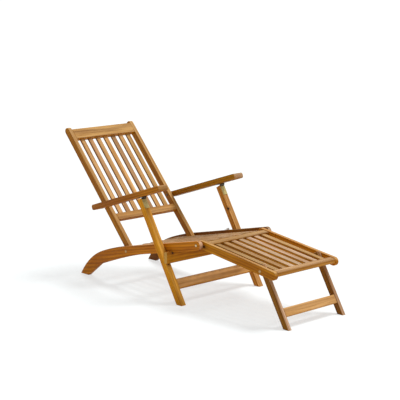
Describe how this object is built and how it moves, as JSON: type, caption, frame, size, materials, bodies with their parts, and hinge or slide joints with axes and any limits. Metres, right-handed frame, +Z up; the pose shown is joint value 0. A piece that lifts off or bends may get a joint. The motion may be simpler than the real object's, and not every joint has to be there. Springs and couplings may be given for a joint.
{
  "type": "steamer deck chair",
  "caption": "Folding wooden steamer lounge chair with slatted seat, reclined slatted back, flat arms, and a hinged slatted footrest on its own folding legs.",
  "frame": {"origin": "on the floor under the middle of the chair's overall box", "axes": "+X across the chair, +Y towards the back, +Z up"},
  "size_m": [0.61, 1.728, 0.8133],
  "materials": {
    "teak": "oiled satin",
    "teak_pale": "oiled satin",
    "teak_dark": "oiled satin",
    "slat_teak": "sanded and oiled",
    "brass": "satin",
    "bolt_steel": "brushed"
  },
  "bodies": {
    "seat_frame": {"seat_rail_left": "teak", "seat_rail_right": "teak", "seat_batten_1": "teak_dark", "seat_batten_2": "teak_dark", "seat_batten_3": "teak_dark", "seat_slat_1": "slat_teak", "seat_slat_2": "slat_teak", "seat_slat_3": "slat_teak", "seat_slat_4": "slat_teak", "seat_slat_5": "slat_teak", "seat_slat_6": "slat_teak", "seat_slat_7": "slat_teak", "rail_keeper_left": "brass", "rail_keeper_right": "brass", "back_bolt_left": "bolt_steel", "back_bolt_right": "bolt_steel", "footrest_bolt_left": "bolt_steel", "footrest_bolt_right": "bolt_steel"},
    "back_frame": {"back_stile_left": "teak", "back_stile_right": "teak", "back_top_rail": "teak_pale", "back_bottom_rail": "teak_pale", "back_slat_1": "slat_teak", "back_slat_2": "slat_teak", "back_slat_3": "slat_teak", "back_slat_4": "slat_teak", "back_slat_5": "slat_teak", "back_slat_6": "slat_teak", "back_slat_7": "slat_teak", "arm_bolt_left": "bolt_steel", "arm_bolt_right": "bolt_steel"},
    "arm_left_body": {"arm_left": "teak_pale", "hinge_arm_leaf_left": "brass", "hinge_pin_left": "brass"},
    "arm_right_body": {"arm_right": "teak_pale", "hinge_arm_leaf_right": "brass", "hinge_pin_right": "brass"},
    "leg_frame": {"front_leg_left": "teak_dark", "front_leg_right": "teak_dark", "hinge_leg_leaf_left": "brass", "hinge_leg_leaf_right": "brass", "leg_stretcher": "teak_pale", "seat_crossbar": "teak"},
    "footrest": {"footrest_rail_left": "teak_dark", "footrest_rail_right": "teak_dark", "footrest_inner_rail": "teak", "footrest_outer_rail": "teak", "footrest_slat_1": "slat_teak", "footrest_slat_2": "slat_teak", "footrest_slat_3": "slat_teak", "footrest_slat_4": "slat_teak", "footrest_slat_5": "slat_teak", "footrest_slat_6": "slat_teak", "footrest_slat_7": "slat_teak", "footrest_leg_bolt_left": "bolt_steel", "footrest_leg_bolt_right": "bolt_steel"},
    "footrest_leg_frame": {"footrest_leg_left": "teak_dark", "footrest_leg_right": "teak_dark", "footrest_leg_stretcher": "teak_pale"}
  },
  "joints": [
    {"name": "back_fold", "type": "hinge", "parent": "seat_frame", "child": "back_frame", "pos_m": [0, 0.30059, 0.196], "axis": [1, 0, 0], "range_deg": [0, 25]},
    {"name": "arm_left_swing", "type": "hinge", "parent": "back_frame", "child": "arm_left_body", "pos_m": [-0.2245, 0.5037, 0.41922], "axis": [1, 0, 0], "range_deg": [0, 5]},
    {"name": "arm_right_swing", "type": "hinge", "parent": "back_frame", "child": "arm_right_body", "pos_m": [0.2245, 0.5037, 0.41922], "axis": [1, 0, 0], "range_deg": [0, 5]},
    {"name": "leg_swing", "type": "hinge", "parent": "arm_left_body", "child": "leg_frame", "pos_m": [-0.283, 0.11657, 0.5244], "axis": [-1, 0, 0], "range_deg": [0, 50]},
    {"name": "footrest_fold", "type": "hinge", "parent": "seat_frame", "child": "footrest", "pos_m": [0, -0.26341, 0.3249], "axis": [-1, 0, 0], "range_deg": [0, 120]},
    {"name": "footrest_leg_fold", "type": "hinge", "parent": "footrest", "child": "footrest_leg_frame", "pos_m": [0, -0.68712, 0.26433], "axis": [1, 0, 0], "range_deg": [0, 125]}
  ],
  "couplings": [
    {"joint": "arm_left_swing", "follows": "back_fold", "ratio": 0.2},
    {"joint": "arm_right_swing", "follows": "back_fold", "ratio": 0.2},
    {"joint": "leg_swing", "follows": "back_fold", "ratio": 2}
  ]
}
